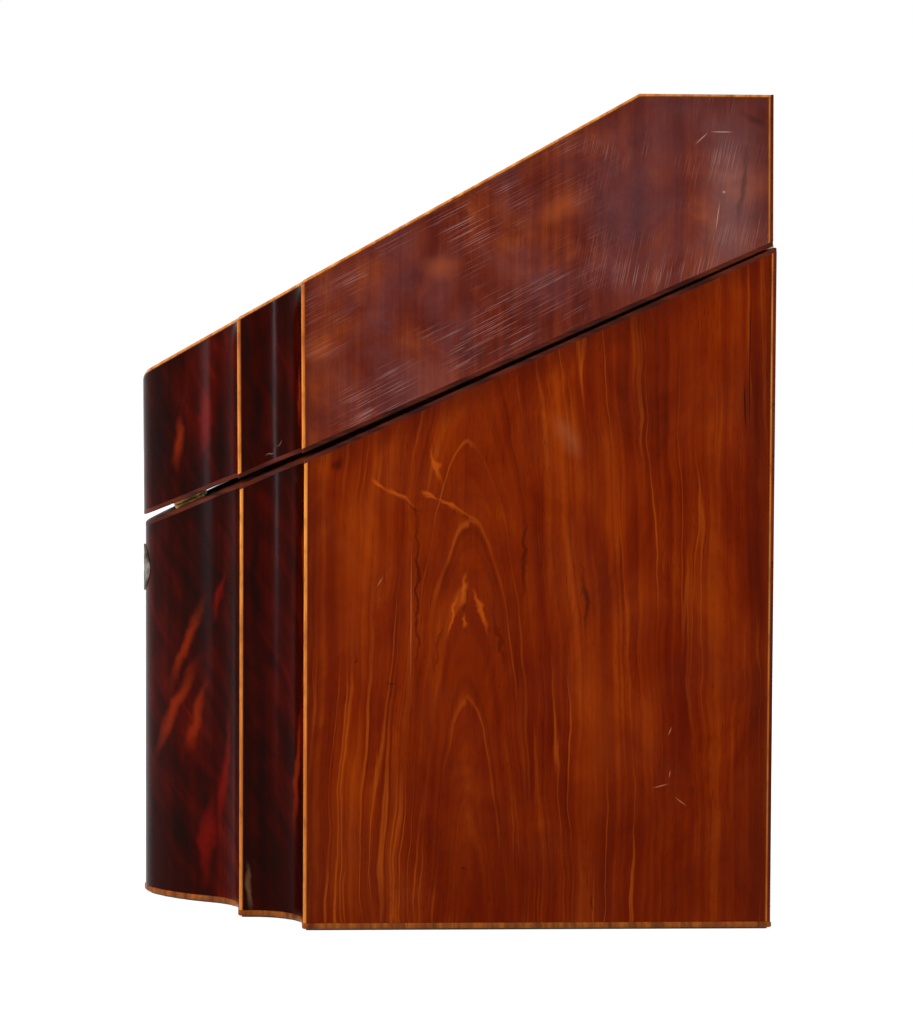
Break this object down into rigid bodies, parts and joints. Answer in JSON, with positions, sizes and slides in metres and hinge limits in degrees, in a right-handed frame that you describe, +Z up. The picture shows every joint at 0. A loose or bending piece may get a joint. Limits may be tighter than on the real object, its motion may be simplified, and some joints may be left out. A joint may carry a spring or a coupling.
{
  "type": "knife box",
  "caption": "Mahogany knife box with a serpentine front, boxwood stringing and a sloping hinged lid over a pierced cutlery board.",
  "frame": {"origin": "on the table under the middle of the footprint, at the underside of the base baize", "axes": "+X to the box's right-hand side, +Y from the bow front to the back, +Z up"},
  "size_m": [0.225, 0.2849, 0.3683],
  "materials": {
    "baize": "felted wool baize, dark green, worn",
    "cloth_lining": "soft green lining cloth",
    "base_mahogany": "worn mahogany moulding, rubbed pale at its edge",
    "pine": "oiled pine, plain sawn",
    "side_veneer": "figured mahogany, french polished, fine scratches",
    "lid_veneer": "red mahogany, french polished, hazy with fine scratches",
    "front_veneer": "dark flame mahogany, french polished, glossy",
    "boxwood": "polished boxwood string",
    "rim_mahogany": "mahogany facing, polished, worn at the edge",
    "board_mahogany": "mahogany, waxed",
    "lock_brass": "lacquered brass, dulled",
    "hinge_brass": "old brass, dulled",
    "steel": "filed steel",
    "escutcheon_metal": "old white metal, tarnished"
  },
  "bodies": {
    "carcase": {"base_baize": "baize", "base_moulding": "base_mahogany", "bottom_board": "pine", "side_core_left": "pine", "side_core_right": "pine", "back_core": "pine", "bow_core": "pine", "wing_core_left": "pine", "wing_core_right": "pine", "lock_block": "pine", "side_veneer_left": "side_veneer", "side_veneer_right": "side_veneer", "back_veneer": "side_veneer", "bow_veneer": "front_veneer", "wing_veneer_left": "front_veneer", "wing_veneer_right": "front_veneer", "edge_strings": "boxwood", "rim_facing": "rim_mahogany", "cutlery_board": "board_mahogany", "board_strings": "boxwood", "board_cleats": "pine", "partitions": "pine", "lock_case": "lock_brass", "lock_selvedge": "lock_brass", "lock_pin": "lock_brass", "bolt_spring": "steel", "lock_screws": "lock_brass", "escutcheon": "escutcheon_metal", "escutcheon_pins": "escutcheon_metal", "hinge_lower_leaves": "hinge_brass", "hinge_pins": "steel", "hinge_lower_screws": "hinge_brass"},
    "lid": {"lid_side_core_left": "pine", "lid_side_core_right": "pine", "lid_back_core": "pine", "lid_bow_core": "pine", "lid_wing_core_left": "pine", "lid_wing_core_right": "pine", "lid_block": "pine", "slope_panel": "pine", "top_panel": "pine", "lid_side_veneer_left": "lid_veneer", "lid_side_veneer_right": "lid_veneer", "lid_back_veneer": "lid_veneer", "lid_bow_veneer": "front_veneer", "lid_wing_veneer_left": "front_veneer", "lid_wing_veneer_right": "front_veneer", "slope_veneer": "lid_veneer", "top_veneer": "lid_veneer", "lid_edge_strings": "boxwood", "lid_top_strings": "boxwood", "lid_rim_facing": "rim_mahogany", "lid_lining": "cloth_lining", "link_plate": "lock_brass", "link_screws": "lock_brass", "hinge_upper_leaves": "hinge_brass", "hinge_upper_screws": "hinge_brass"},
    "lock_bolt": {"lock_bolt": "steel"}
  },
  "joints": [
    {"name": "lid_hinge", "type": "hinge", "parent": "carcase", "child": "lid", "pos_m": [0, 0.14118, 0.30283], "axis": [-1, 0, 0], "range_deg": [0, 110]},
    {"name": "bolt_slide", "type": "slide", "parent": "carcase", "child": "lock_bolt", "axis": [1, 0, 0], "range_m": [0, 0.005]}
  ]
}
